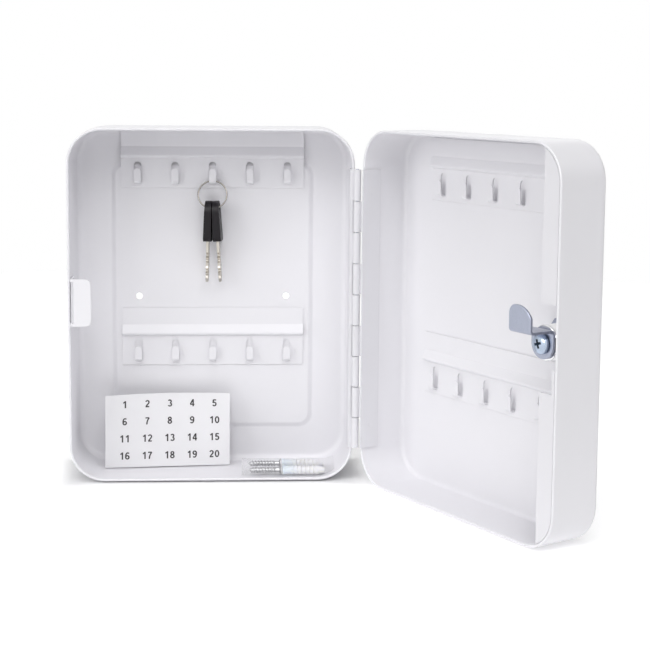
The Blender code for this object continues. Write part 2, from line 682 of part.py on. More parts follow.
def blade_outline(y, top, tip):
    """A blade with cuts along one edge and a pointed tip."""
    half = KEY_BLADE_WIDTH / 2
    cuts = (0.9 * MM, 1.8 * MM, 0.6 * MM, 1.5 * MM, 2.1 * MM)
    outline = [(y + half, top), (y + half, tip + 2 * MM), (y + 0.5 * MM, tip), (y - 1.2 * MM, tip)]
    place = tip + 2.4 * MM
    for depth in cuts:
        outline += [(y - half, place), (y - half + depth, place + MM), (y - half + depth, place + 1.8 * MM)]
        place += 3 * MM
    outline += [(y - half, place), (y - half, top)]
    return outline


# ---------------------------------------------------------------- loose contents

def make_labels():
    """A sheet of labels that stands askew on the floor and leans back, its top corners curling forward."""
    width, height = LABELS_SIZE
    across, up = 12, 5
    bm = bmesh.new()
    bmesh.ops.create_grid(bm, x_segments=across, y_segments=up, size=0.5)
    foot = FLOOR + CLEARANCE + LABELS_THICKNESS
    for vert in bm.verts:
        u, v = vert.co.x * 2, vert.co.y + 0.5
        lean = 9 * MM * v - 5 * MM * u * u * v
        vert.co = (LABELS_X + u * width / 2, PANEL - 17 * MM + lean + LABELS_SKEW * u, foot + v * height)
    sheet = add("number_sheet", bm, "paper")
    solid = sheet.modifiers.new("Paper", "SOLIDIFY")
    solid.thickness = LABELS_THICKNESS
    solid.offset = 0


def make_fixings():
    """Two wall screws with their plugs in a flat film sleeve on the floor."""
    radius = 2.9 * MM
    axis_z = FLOOR + 3.6 * MM
    head_x = SCREW_TIP_X + SCREW_LENGTH
    for number, y in enumerate(FIXINGS_Y, 1):
        profile = [(0, head_x), (radius, head_x), (1.9 * MM, head_x - 1.6 * MM),
                   (1.9 * MM, SCREW_TIP_X + 3 * MM), (0, SCREW_TIP_X)]
        turned(f"wall_screw_{number}", profile[::-1], (0, y, axis_z), "zinc", segments=16, axis="X")
        start = head_x + CLEARANCE * 2
        end = start + WALL_PLUG_LENGTH
        profile = [(1.2 * MM, start), (2.8 * MM, start), (2.8 * MM, start + MM), (2.5 * MM, start + MM),
                   (2.5 * MM, end - 4 * MM), (2 * MM, end), (1.2 * MM, end), (1.2 * MM, start)]
        turned(f"wall_plug_{number}", profile, (0, y, axis_z), "plug_plastic", segments=16, axis="X")
    middle = sum(FIXINGS_Y) / 2
    bm = bmesh.new()
    rounds = 24
    loops = []
    for x, height, half_tall in ((17 * MM, axis_z, 3.25 * MM), (63 * MM, axis_z, 3.2 * MM),
                                 (70 * MM, axis_z + 2.4 * MM, 2 * MM)):
        loop = []
        for step in range(rounds):
            angle = 2 * pi * step / rounds
            across = abs(cos(angle)) ** 0.5 * (1 if cos(angle) > 0 else -1)
            over = abs(sin(angle)) ** 0.5 * (1 if sin(angle) > 0 else -1)
            loop.append(bm.verts.new((x, middle + 10.4 * MM * across, height + half_tall * over)))
        loops.append(loop)
    for near, far in zip(loops, loops[1:]):
        for step in range(rounds):
            after = (step + 1) % rounds
            bm.faces.new((near[step], near[after], far[after], far[step]))
    bag = add("fixings_bag", bm, "film")
    solid = bag.modifiers.new("Film", "SOLIDIFY")
    solid.thickness = 0.25 * MM
    solid.offset = 0


# ---------------------------------------------------------------- assembly

door_pivot = pivot("door_pivot", (HINGE_X, HINGE_Y, 0))
rotor_pivot = pivot("lock_pivot", (LOCK_X, BARREL_END, LOCK_Z), door_pivot)
hook_top = BODY_RAILS["hook_rail_body_top"] + SHELF + RAIL_SHEET / 2
ring_drop = 0.45 * MM + RING_WIRE + RING_PITCH / 2 * sin(RING_TILT)
ring_y = PANEL - CLEARANCE - (RAIL_SHEET + FINGER_REACH - RAIL_SHEET / 2) / 2
hang_pivot = pivot("ring_pivot", (0, ring_y, hook_top + ring_drop))
key_drop = 2 * RING_RADIUS - 1.1 * MM
blades = []
for key_side in (-1, 1):
    key_place = (key_side * KEY_SPACING / 2, ring_y, hook_top + ring_drop - key_drop)
    blades.append(pivot("key_%d_pivot" % (len(blades) + 1), key_place, hang_pivot))

make_body()
make_door(door_pivot)
make_stiffener(door_pivot)
make_strike()
make_hinge(door_pivot)
make_rails(door_pivot)
make_lock(door_pivot, rotor_pivot)
make_keys(hang_pivot, blades)
make_labels()
make_fixings()

door_pivot.rotation_euler.z = DOOR_OPEN
hang_pivot.rotation_euler.x = -RING_TILT
for blade_pivot, splay in zip(blades, KEY_SPLAY):
    upright = Matrix.Rotation(RING_TILT, 3, "X")
    turn = Matrix.Rotation(KEY_YAW, 3, "Z") @ Matrix.Rotation(splay, 3, "Y")
    blade_pivot.rotation_euler = (upright @ turn).to_euler()
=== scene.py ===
"""Looks for the wall key cabinet: refined pieces, materials, camera and studio on the CAD frame."""
import json
from math import acos, cos, degrees, pi, radians, sin, sqrt

import bmesh
import bpy
from mathutils import Matrix, Vector, noise


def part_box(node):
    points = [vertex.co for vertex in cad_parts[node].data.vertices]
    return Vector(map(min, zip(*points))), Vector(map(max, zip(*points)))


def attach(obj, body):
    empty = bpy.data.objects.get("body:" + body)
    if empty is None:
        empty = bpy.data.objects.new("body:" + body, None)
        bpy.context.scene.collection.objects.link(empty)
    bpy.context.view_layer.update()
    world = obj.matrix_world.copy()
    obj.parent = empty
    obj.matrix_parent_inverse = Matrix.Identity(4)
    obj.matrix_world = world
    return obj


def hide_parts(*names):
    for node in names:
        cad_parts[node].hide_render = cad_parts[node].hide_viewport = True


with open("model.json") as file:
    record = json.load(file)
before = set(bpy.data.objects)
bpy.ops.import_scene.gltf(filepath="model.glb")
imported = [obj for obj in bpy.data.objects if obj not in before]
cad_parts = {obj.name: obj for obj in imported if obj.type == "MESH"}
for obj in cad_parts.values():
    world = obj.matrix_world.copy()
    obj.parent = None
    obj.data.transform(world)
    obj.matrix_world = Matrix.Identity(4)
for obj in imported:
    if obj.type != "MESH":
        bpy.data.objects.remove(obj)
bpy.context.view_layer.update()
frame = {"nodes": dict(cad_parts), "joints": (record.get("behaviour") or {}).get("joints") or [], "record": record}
MM = 0.001

# Places in metres: some are read from the CAD frame, the others are set out from those
body_low, body_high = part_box("body_shell")
WIDTH = body_high.x - body_low.x
HEIGHT = body_high.z - body_low.z
MID = (body_high.z + body_low.z) / 2
WALL = body_high.y  # outside of the body's back
BODY_RIM = body_low.y
hinge_joint = next(j for j in frame["joints"] if j["name"] == "door_hinge")
HINGE_X, HINGE_Y = hinge_joint["pos_m"][0], hinge_joint["pos_m"][1]
DOOR_OPEN = radians(121)
SHEET = 1.5 * MM  # thickness of both pans
CORNER = 20 * MM
DOOR_RIM = BODY_RIM - 5 * MM  # this and every place on the door is that of the closed door
DOOR_FRONT = DOOR_RIM - 31 * MM
PANEL = WALL - 2.7 * MM  # front of the body's embossed back
INSIDE = WIDTH / 2 - SHEET
LOCK_X, LOCK_Z = -58 * MM, MID + 0.3 * MM
BARREL_END = HINGE_Y - 14.7 * MM
THREAD_HOLE = 9.3 * MM  # radius around the barrel's thread
WALL_HOLE_X, WALL_HOLE = 43 * MM, 2 * MM
OPEN_DOOR = (Matrix.Translation((HINGE_X, HINGE_Y, 0)) @ Matrix.Rotation(DOOR_OPEN, 4, "Z")
             @ Matrix.Translation((-HINGE_X, -HINGE_Y, 0)))


# ---------------------------------------------------------------- camera

def make_camera():
    """A long lens with a vertical shift, in front of the cabinet and a little above it."""
    yaw, pitch, roll = radians(-3.134), radians(-6.887), radians(-0.438)
    turn = (Matrix.Rotation(yaw, 3, "Z") @ Matrix.Rotation(pitch, 3, "X")
            @ Matrix.Rotation(roll, 3, "Y"))
    right, forward, up = turn.col[0], turn.col[1], turn.col[2]
    camera = bpy.data.objects.new("camera", bpy.data.cameras.new("camera"))
    bpy.context.scene.collection.objects.link(camera)
    axes = Matrix((right, up, -forward)).transposed()
    spot = Vector((18.38, -847.78, 232.19)) * MM
    camera.matrix_world = Matrix.Translation(spot) @ axes.to_4x4()
    camera.data.sensor_width = 36
    camera.data.lens = 82.325
    camera.data.shift_y = -0.1154
    camera.data.clip_start = 0.01
    bpy.context.scene.camera = camera


make_camera()


# ---------------------------------------------------------------- materials

def shader_of(material):
    return material.node_tree.nodes["Principled BSDF"]


def new_material(name, base, roughness, metallic=0.0, **sockets):
    """A material with plain values; sockets are further shader inputs by name."""
    material = bpy.data.materials.new(name)
    material.use_nodes = True
    shader = shader_of(material)
    shader.inputs["Base Color"].default_value = (*base, 1)
    shader.inputs["Roughness"].default_value = roughness
    shader.inputs["Metallic"].default_value = metallic
    for key, value in sockets.items():
        shader.inputs[key.replace("_", " ")].default_value = value
    return material


def node(material, kind, links=(), **values):
    """Add a node; links are (socket, other node's output); values set properties or inputs."""
    tree = material.node_tree
    made = tree.nodes.new("ShaderNode" + kind)
    for key, value in values.items():
        if hasattr(made, key):
            setattr(made, key, value)
        else:
            made.inputs[key.replace("_", " ")].default_value = value
    for socket, output in links:
        tree.links.new(output, made.inputs[socket])
    return made


def grain(material, scale, detail=3.0, stretch=None):
    """Noise in object coordinates, in features per metre."""
    coords = node(material, "TexCoord")
    vector = coords.outputs["Object"]
    if stretch:
        mapping = node(material, "Mapping", [("Vector", vector)])
        mapping.inputs["Scale"].default_value = stretch
        vector = mapping.outputs["Vector"]
    return node(material, "TexNoise", [("Vector", vector)], Scale=scale, Detail=detail)


def add_bump(material, texture, strength, distance):
    """Raise the surface by a texture; distance is in metres."""
    bump = node(material, "Bump", [("Height", texture.outputs[0])],
                Strength=strength, Distance=distance)
    material.node_tree.links.new(bump.outputs["Normal"], shader_of(material).inputs["Normal"])


def vary(material, texture, socket, low, high, start=0.3, end=0.7):
    """Drive a shader socket between two values (or colours) by a texture."""
    if isinstance(low, tuple):
        ramp = node(material, "ValToRGB", [("Fac", texture.outputs[0])])
        for stop, position, colour in zip(ramp.color_ramp.elements, (start, end), (low, high)):
            stop.position, stop.color = position, (*colour, 1)
        driven = ramp.outputs["Color"]
    else:
        driven = node(material, "MapRange", [("Value", texture.outputs[0])], From_Min=start,
                      From_Max=end, To_Min=low, To_Max=high).outputs["Result"]
    material.node_tree.links.new(driven, shader_of(material).inputs[socket])


def paint(name, base, roughness=0.42):
    """Powder coat: fine orange peel, faint mottling in colour and gloss."""
    made = new_material(name, base, roughness)
    peel = grain(made, 900, 2.0)
    add_bump(made, peel, 0.12, 0.00005)
    cloud = grain(made, 18, 4.0)
    darker = tuple(channel * 0.985 for channel in base)
    vary(made, cloud, "Base Color", darker, base)
    vary(made, cloud, "Roughness", roughness - 0.05, roughness + 0.05)
    return made


def metal(name, base, roughness, stretch=(30, 400, 400), bump=0.05, tint=0.92):
    """Metal with streaks in gloss and relief, and blotches as dark as tint."""
    made = new_material(name, base, roughness, 1.0)
    streaks = grain(made, 8, 5.0, stretch)
    vary(made, streaks, "Roughness", roughness * 0.7, roughness * 1.35)
    blotch = grain(made, 220, 3.0)
    vary(made, blotch, "Base Color", tuple(channel * tint for channel in base), base)
    add_bump(made, streaks, bump, 0.00003)
    return made


PAINT = paint("powder_coat", (0.796, 0.789, 0.818))
# A darker copy of the powder coat for the door's stiffener: painted shade, since its flange would catch more light
# than the panel
PAINT_SHADED_STIFFENER = paint("powder_coat_painted_shade", (0.735, 0.728, 0.757))
PAINT_HINGE = paint("powder_coat_hinge", (0.72, 0.715, 0.745), 0.38)
ZINC = metal("zinc_plate", (0.385, 0.41, 0.495), 0.3, stretch=(900, 900, 25), tint=0.97)
CHROME = metal("chrome_plate", (0.82, 0.82, 0.83), 0.10, bump=0.01)
NICKEL = metal("nickel_silver", (0.56, 0.53, 0.48), 0.36)
RING_STEEL = metal("ring_steel", (0.29, 0.272, 0.25), 0.24)
BRASS = metal("stamped_brass", (0.72, 0.52, 0.25), 0.30)
SPRING = metal("spring_wire", (0.42, 0.41, 0.40), 0.30)
SCREW_ZINC = metal("screw_zinc", (0.45, 0.525, 0.64), 0.22, tint=0.96)
# Near-black metal for the cam screw's cross recess: painted shade of the hollow
RECESS_PAINTED_SHADE = metal("screw_recess_painted_shade", (0.07, 0.10, 0.14), 0.42)
STEEL = metal("screw_steel", (0.52, 0.52, 0.53), 0.3)
BLACK = new_material("key_plastic", (0.005, 0.0035, 0.0055), 0.34, Specular_IOR_Level=0.26)
add_bump(BLACK, grain(BLACK, 2600, 2.0), 0.25, 0.00005)
vary(BLACK, grain(BLACK, 60, 4.0), "Roughness", 0.34, 0.5)
PAPER = new_material("label_paper", (0.80, 0.795, 0.815), 0.75)
add_bump(PAPER, grain(PAPER, 1500, 4.0), 0.15, 0.00005)
vary(PAPER, grain(PAPER, 30, 3.0), "Base Color", (0.77, 0.765, 0.785), (0.80, 0.795, 0.815))
INK = new_material("label_ink", (0.035, 0.03, 0.032), 0.6)
vary(INK, grain(INK, 900, 3.0), "Base Color", (0.02, 0.017, 0.02), (0.055, 0.048, 0.05))
NYLON = new_material("plug_nylon", (0.76, 0.82, 0.87), 0.42, Subsurface_Weight=0.3,
                     Subsurface_Radius=(0.002, 0.002, 0.003))
add_bump(NYLON, grain(NYLON, 1200, 2.0), 0.1, 0.00005)
# The plugs' collars, at the left end, are bluer
spot = node(NYLON, "SeparateXYZ", [("Vector", node(NYLON, "TexCoord").outputs["Object"])])
collar = node(NYLON, "MapRange", [("Value", spot.outputs["X"])], From_Min=0.043, From_Max=0.05)
vary(NYLON, collar, "Base Color", (0.72, 0.785, 0.84), (0.79, 0.787, 0.805), 0, 1)
FILM = new_material("clear_film", (0.84, 0.84, 0.86), 0.3, Alpha=0.05)
add_bump(FILM, grain(FILM, 90, 3.0), 0.3, 0.0006)

# Every CAD node gets its material; wafers, springs and hinge pin are shown as they are
SLOT_MATERIALS = {"grey_paint": PAINT, "hinge_paint": PAINT_HINGE, "zinc": ZINC, "chrome": CHROME,
                  "nickel": NICKEL, "brass": BRASS, "spring_steel": SPRING, "black_plastic": BLACK,
                  "paper": PAPER, "plug_plastic": NYLON, "film": FILM}
for entry in frame["record"]["subparts"]:
    carried = frame["nodes"][entry["node"]]
    carried.data.materials.clear()
    carried.data.materials.append(SLOT_MATERIALS[entry["material_slot"]])


# ---------------------------------------------------------------- shaping

def block(low, high):
    """A box between two corners."""
    bm = bmesh.new()
    low, high = Vector(low), Vector(high)
    bmesh.ops.create_cube(bm, size=1)
    bmesh.ops.scale(bm, vec=high - low, verts=bm.verts)
    bmesh.ops.translate(bm, vec=(low + high) / 2, verts=bm.verts)
    return bm


def edges_along(bm, axis, test=lambda middle: True):
    """The edges that run along an axis and whose middle passes a test."""
    found = []
    for edge in bm.edges:
        run = edge.verts[1].co - edge.verts[0].co
        straight = abs(run[axis]) > 0.999 * run.length
        if straight and test((edge.verts[0].co + edge.verts[1].co) / 2):
            found.append(edge)
    return found


def round_edges(bm, edges, radius, segments):
    bmesh.ops.bevel(bm, geom=edges, offset=radius, segments=segments, profile=0.5,
                    affect="EDGES", clamp_overlap=True)


def slab(outline, axis, low, high):
    """A flat outline pushed along an axis. The outline lists the other two coordinates."""
    bm = bmesh.new()
    ends = []
    for level in (low, high):
        corners = []
        for first, second in outline:
            corner = [first, second]
            corner.insert(axis, level)
            corners.append(bm.verts.new(corner))
        ends.append(corners)
    count = len(outline)
    for index in range(count):
        after = (index + 1) % count
        bm.faces.new((ends[0][index], ends[0][after], ends[1][after], ends[1][index]))
    bm.faces.new(ends[0])
    bm.faces.new(ends[1])
    return bm


def skin(bm, rings, capped=True):
    """Faces between rings of equally many vertices, and over the first and last ring."""
    count = len(rings[0])
    for near, far in zip(rings, rings[1:]):
        for step in range(count):
            after = (step + 1) % count
            bm.faces.new((near[step], near[after], far[after], far[step]))
    if capped:
        bm.faces.new(rings[0])
        bm.faces.new(rings[-1])


def lathe(profile, centre, axis=1, steps=48, closed=False):
    """A solid of revolution about an axis. The profile lists radius and place along the axis."""
    bm = bmesh.new()
    rings = []
    for radius, along in profile:
        ring = []
        for step in range(steps if radius > 0 else 1):
            angle = 2 * pi * step / steps
            spot = [radius * cos(angle), radius * sin(angle)]
            spot.insert(axis, along)
            ring.append(bm.verts.new(Vector(centre) + Vector(spot)))
        rings.append(ring)
    pairs = list(zip(rings, rings[1:])) + ([(rings[-1], rings[0])] if closed else [])
    for near, far in pairs:
        for step in range(steps):
            after = (step + 1) % steps
            corners = dict.fromkeys((near[step % len(near)], near[after % len(near)],
                                     far[after % len(far)], far[step % len(far)]))
            if len(corners) > 2:
                bm.faces.new(list(corners))
    if not closed:
        for ring in (rings[0], rings[-1]):
            if len(ring) > 1:
                bm.faces.new(ring)
    return bm


def arc(centre, radius, start, end, steps):
    """Points on an arc, angles in degrees from the outline's first axis."""
    points = []
    for step in range(steps + 1):
        angle = radians(start + (end - start) * step / steps)
        points.append((centre[0] + radius * cos(angle), centre[1] + radius * sin(angle)))
    return points


def filleted(points, radius, steps=8):
    """An open path whose inner corners are rounded."""
    path = [Vector(points[0])]
    for before, corner, after in zip(points, points[1:], points[2:]):
        corner = Vector(corner)
        back = (Vector(before) - corner).normalized()
        ahead = (Vector(after) - corner).normalized()
        half = acos(max(-1, min(1, back.dot(ahead)))) / 2
        reach = radius / sin(half) * cos(half)
        centre = corner + (back + ahead).normalized() * radius / sin(half)
        first, last = corner + back * reach, corner + ahead * reach
        for step in range(steps + 1):
            spoke = (first - centre).lerp(last - centre, step / steps)
            path.append(centre + spoke.normalized() * radius)
    path.append(Vector(points[-1]))
    return path


def thickened(path, thickness):
    """The outline of a strip of sheet whose middle follows an open path."""
    left, right = [], []
    for index, point in enumerate(path):
        before = path[max(index - 1, 0)]
        after = path[min(index + 1, len(path) - 1)]
        if index in (0, len(path) - 1):
            run = (after - before).normalized()
            normal = Vector((-run.y, run.x))
        else:
            into, out = (point - before).normalized(), (after - point).normalized()
            normal = Vector((-into.y, into.x)) + Vector((-out.y, out.x))
            normal /= normal.dot(Vector((-into.y, into.x)))
        left.append(tuple(point + normal * thickness / 2))
        right.append(tuple(point - normal * thickness / 2))
    return left + right[::-1]


def tube(path, radius, steps):
    """A round wire along an open 3-D path, capped at both ends."""
    bm = bmesh.new()
    rings = []
    for index, point in enumerate(path):
        run = (path[min(index + 1, len(path) - 1)] - path[max(index - 1, 0)]).normalized()
        side = run.cross(Vector((0, 1, 0))).normalized()
        over = side.cross(run)
        ring = []
        for step in range(steps):
            angle = 2 * pi * step / steps
            ring.append(bm.verts.new(point + side * radius * cos(angle)
                                     + over * radius * sin(angle)))
        rings.append(ring)
    skin(bm, rings)
    return bm


def temporary(bm):
    """An object for a Boolean; bm is used up."""
    bmesh.ops.recalc_face_normals(bm, faces=bm.faces[:])
    mesh = bpy.data.meshes.new("temporary")
    bm.to_mesh(mesh)
    bm.free()
    made = bpy.data.objects.new("temporary", mesh)
    bpy.context.scene.collection.objects.link(made)
    return made


def carve(bm, tools, operation="DIFFERENCE"):
    """bm after a Boolean with each tool; all of them are used up."""
    base = temporary(bm)
    cutters = [temporary(tool) for tool in tools]
    for cutter in cutters:
        modifier = base.modifiers.new("cut", "BOOLEAN")
        modifier.operation = operation
        modifier.object = cutter
    graph = bpy.context.evaluated_depsgraph_get()
    result = bmesh.new()
    result.from_mesh(base.evaluated_get(graph).data)
    for made in [base] + cutters:
        mesh = made.data
        bpy.data.objects.remove(made)
        bpy.data.meshes.remove(mesh)
    return result


def show(name, bm, material, body, stands_for=(), place=None, sharp=32, soft=0, segments=3):
    """Make the piece, in place of the named CAD nodes.

    soft is the radius of its worn edges, and edges above the angle sharp, in degrees, are edges.
    """
    if place is not None:
        bmesh.ops.transform(bm, matrix=place, verts=bm.verts)
    bmesh.ops.recalc_face_normals(bm, faces=bm.faces[:])
    mesh = bpy.data.meshes.new(name)
    bm.to_mesh(mesh)
    bm.free()
    mesh.shade_smooth()
    mesh.materials.append(material)
    made = bpy.data.objects.new(name, mesh)
    bpy.context.scene.collection.objects.link(made)
    if soft:
        bevel = made.modifiers.new("Soft edges", "BEVEL")
        bevel.width = soft
        bevel.segments = segments
        bevel.limit_method = "ANGLE"
        bevel.angle_limit = radians(sharp)
        normals = made.modifiers.new("Normals", "WEIGHTED_NORMAL")
        normals.keep_sharp = False
    else:
        mesh.set_sharp_from_angle(angle=radians(sharp))
        made.modifiers.new("Normals", "WEIGHTED_NORMAL").keep_sharp = True
    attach(made, body)
    if stands_for:
        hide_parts(*stands_for)
    return made


# ---------------------------------------------------------------- pans

def loop(half_width, half_height, radius):
    """A rounded rectangle about the middle of the cabinet, as x and z."""
    points, steps = [], 14
    for x, z, start in ((1, 1, 0), (-1, 1, 90), (-1, -1, 180), (1, -1, 270)):
        for step in range(steps + 1):
            angle = radians(start + 90 * step / steps)
            points.append((x * (half_width - radius) + radius * cos(angle),
                           MID + z * (half_height - radius) + radius * sin(angle)))
    return points


def lofted(rows):
    """Skin over rounded rectangles; each row is an inset, a y and a corner radius."""
    bm = bmesh.new()
    rings = []
    for inset, y, radius in rows:
        outline = loop(WIDTH / 2 - inset, HEIGHT / 2 - inset, radius)
        rings.append([bm.verts.new((x, y, z)) for x, z in outline])
    skin(bm, rings)
    return bm


def pan(rim, back, bend, embossed):
    """A drawn pan, skinned from the outside of its back over the rolled rim to the inside."""
    side = 1 if back > rim else -1
    # The embossed field: where its slope starts and ends, from the outline, and how high it is
    start, end, height = 20.8 * MM, 24.2 * MM, 1.2 * MM
    swell = []
    for step in range(9):
        share = step / 8
        rise = height * (1 - cos(pi * share)) / 2
        swell.append((start + (end - start) * share, rise, 8 * MM - 2 * MM * share))
    rows = []
    if embossed:
        rows += [(inset, back - side * rise, radius) for inset, rise, radius in swell[::-1]]
    outer, half = [], SHEET / 2
    for step in range(11):
        turn = pi / 2 * step / 10
        outer.append((bend * (1 - sin(turn)), back - side * bend * (1 - cos(turn))))
    for step in range(9):
        turn = pi * step / 8
        outer.append((half * (1 - cos(turn)), rim + side * half * (1 - sin(turn))))
    inner = bend - SHEET
    for step in range(11):
        turn = pi / 2 * step / 10
        outer.append((SHEET + inner * (1 - cos(turn)),
                      back - side * (SHEET + inner * (1 - sin(turn)))))
    rows += [(inset, y, CORNER - inset) for inset, y in outer]
    if embossed:
        rows += [(inset, back - side * (SHEET + rise), radius) for inset, rise, radius in swell]
    return lofted(rows)


def round_hole(x, z, radius, low, high, steps=48):
    """A tool for a hole along Y."""
    return lathe([(radius, low), (radius, high)], (x, 0, z), steps=steps)


wall_holes = [round_hole(side * WALL_HOLE_X, MID, WALL_HOLE, PANEL - MM, WALL + MM)
              for side in (-1, 1)]
body_pan = carve(pan(BODY_RIM, WALL, 5 * MM, True), wall_holes)
show("body_pan", body_pan, PAINT, "cabinet", ["body_shell"])
lock_hole = round_hole(LOCK_X, LOCK_Z, THREAD_HOLE, DOOR_FRONT - MM, DOOR_FRONT + 3 * MM, 64)
door_pan = carve(pan(DOOR_RIM, DOOR_FRONT, 4 * MM, False), [lock_hole])
show("door_pan", door_pan, PAINT, "door", ["door_shell"], OPEN_DOOR)


# ---------------------------------------------------------------- stiffener, strike plate, hinge

def make_stiffener():
    """Flat strip behind the door's rim with a leg, notched for the lock and cut away beside it."""
    outer, corner, edge = INSIDE - 0.05 * MM, WIDTH / 2 - CORNER, -68 * MM
    radius = outer - corner
    turn = degrees(acos((-edge - corner) / radius))
    low, high, neck = MID - 21 * MM, MID + 22.5 * MM, 1.7 * MM - outer
    beside_lock = MID - 9 * MM
    outline = arc((-corner, CORNER), radius, 180 + turn, 180, 14)
    outline += arc((-corner, HEIGHT - CORNER), radius, 180, 180 - turn, 14)
    outline += [(edge, high), (neck, high), (neck, low), (edge, low)]
    front = DOOR_RIM - 1.35 * MM
    leg = block((0.1 * MM - outer, front - 8 * MM, MID - 76 * MM),
                (1.3 * MM - outer, front + 0.6 * MM, MID + 76 * MM))
    flange = carve(slab(outline, 1, front, front + 1.2 * MM), [leg], "UNION")
    relief = block((-outer - MM, front - 4 * MM, beside_lock), (0, front + 3 * MM, high))
    flange = carve(flange, [relief])
    # The stiffener takes the darker copy of the powder coat: painted shade
    show("stiffener", flange, PAINT_SHADED_STIFFENER, "door", ["door_edge_stiffener"], OPEN_DOOR,
         soft=0.12 * MM)


def make_strike():
    """Bent plate with a slot for the cam."""
    wall, y, edge = -INSIDE + 0.9 * MM, HINGE_Y - 0.4 * MM, -66.7 * MM
    half = 13.25
    low, high = MID + (2.8 - half) * MM, MID + (2.8 + half) * MM
    path = filleted([(wall, y + 16 * MM), (wall, y), (edge, y)], 1.3 * MM, 10)
    plate = slab(thickened(path, 1.2 * MM), 2, low, high)
    round_edges(plate, edges_along(plate, 1, lambda middle: middle.x > edge - MM), 3.2 * MM, 10)
    slot = block((wall - 2 * MM, y - 2 * MM, low + 1.6 * MM),
                 (wall + 1.2 * MM, y + 3.6 * MM, high - 1.6 * MM))
    show("strike", carve(plate, [slot]), PAINT, "cabinet", ["strike_plate"], soft=0.2 * MM)


def make_leaf(name, node_name, side, first_cut, body, place):
    """A leaf of the piano hinge with its knuckles and two pressed weld spots.

    Knuckles from first_cut on, every second one, are left for the other leaf.
    """
    inside, sheet, radius = INSIDE - 0.3 * MM, 0.9 * MM, 2.1 * MM
    pin_hole, gap, knuckles = 1.15 * MM, 0.2 * MM, 9
    join = radius - sheet
    turn = degrees(acos(-join / radius)) - 90
    outline = [(inside - sheet, 13.3 * MM), (inside, 13.3 * MM), (inside, radius)]
    outline += arc((HINGE_X, 0), radius, 90, -180 - turn, 40)
    outline += [(inside - sheet, join)]
    outline = [(x, HINGE_Y + side * y) for x, y in outline]
    middle = MID - 1.3 * MM
    low, high = middle - 79 * MM, middle + 79 * MM
    tools = [lathe([(pin_hole, low - MM), (pin_hole, high + MM)], (HINGE_X, HINGE_Y, 0), 2, 32)]
    step = (high - low) / knuckles
    start = HINGE_X - radius - gap if side > 0 else inside + 0.15 * MM
    for index in range(first_cut, knuckles, 2):
        bottom = low + index * step - (gap if index else MM)
        top = low + (index + 1) * step + (gap if index < knuckles - 1 else MM)
        tools.append(block((start, HINGE_Y - 3 * MM, bottom),
                           (HINGE_X + 3 * MM, HINGE_Y + 3 * MM, top)))
    face, depth = inside - sheet, 0.14 * MM
    for z in (middle - 66 * MM, middle + 66 * MM):
        dome = [(0, face + depth), (1.1 * MM, face + depth * 0.75), (1.8 * MM, face),
                (2.1 * MM, face - MM), (0, face - MM)]
        tools.append(lathe(dome, (0, HINGE_Y + side * 7.6 * MM, z), 0, 24))
    leaf = carve(slab(outline, 2, low, high), tools)
    show(name, leaf, PAINT_HINGE, body, [node_name], place, soft=0.1 * MM, segments=2)


make_stiffener()
make_strike()
make_leaf("hinge_leaf_on_body", "hinge_leaf_body", 1, 1, "cabinet", None)
make_leaf("hinge_leaf_on_door", "hinge_leaf_door", -1, 0, "door", OPEN_DOOR)


# ---------------------------------------------------------------- hook rails

def make_rail(name, node_name, x, y, z, door):
    """Label strip, ridge and hook plate in one bent strip, with tongues cut and bent forward."""
    sheet, half_long, pitch = 0.6 * MM, 53 * MM, 21.7 * MM
    half_hole, half_tongue = 2.1 * MM, 2.02 * MM
    path = [(0, 18.8), (0, 8.8), (-1.8, 4.4), (-2.1, 3.3), (0, 2.3), (0, -15.4)]
    path = filleted([(along * MM, up * MM) for along, up in path], 0.85 * MM, 6)
    shifted = [point + Vector((0.2 * MM - sheet / 2, 0)) for point in path]
    plate = slab(thickened(shifted, sheet), 0, -half_long, half_long)
    low_front = edges_along(plate, 0, lambda middle: middle.z < -15 * MM and middle.y < 0)
    round_edges(plate, low_front, 0.45 * MM, 5)
    low = -12.42 * MM
    bend = filleted([(-0.1 * MM, low), (-3.4 * MM, low), (-3.5 * MM, -3.7 * MM)], 1.6 * MM, 10)
    holes, tongues = [], []
    for place in [(index - 2) * pitch for index in range(5)]:
        outline = [(place - half_hole, -12 * MM), (place + half_hole, -12 * MM)]
        outline += arc((place, -half_hole), half_hole, 0, 180, 20)
        holes.append(slab(outline, 1, -2 * MM, MM))
        tongue = slab(thickened(bend, sheet), 0, place - half_tongue, place + half_tongue)
        tip = edges_along(tongue, 1, lambda middle: middle.z > -4.5 * MM)
        round_edges(tongue, tip, 1.85 * MM, 8)
        tongues.append(tongue)
    rail = carve(carve(plate, holes), tongues, "UNION")
    turn = Matrix.Rotation(pi if door else 0, 4, "Z")
    place = (OPEN_DOOR if door else Matrix()) @ Matrix.Translation((x, y, z)) @ turn
    show(name, rail, PAINT, "door" if door else "cabinet", [node_name], place, soft=0.22 * MM)


BODY_RAIL_Y, DOOR_RAIL_Y = PANEL - 0.3 * MM, DOOR_FRONT + 1.8 * MM
make_rail("rail_body_top", "hook_rail_body_top", 0, BODY_RAIL_Y, MID + 79 * MM, False)
make_rail("rail_body_low", "hook_rail_body_bottom", 0, BODY_RAIL_Y, MID - 25.6 * MM, False)
make_rail("rail_door_top", "hook_rail_door_top", 1 * MM, DOOR_RAIL_Y, MID + 77 * MM, True)
make_rail("rail_door_low", "hook_rail_door_bottom", 5 * MM, DOOR_RAIL_Y, MID - 31.5 * MM, True)


# ---------------------------------------------------------------- cam lock

LOCK_AXIS = (LOCK_X, 0, LOCK_Z)


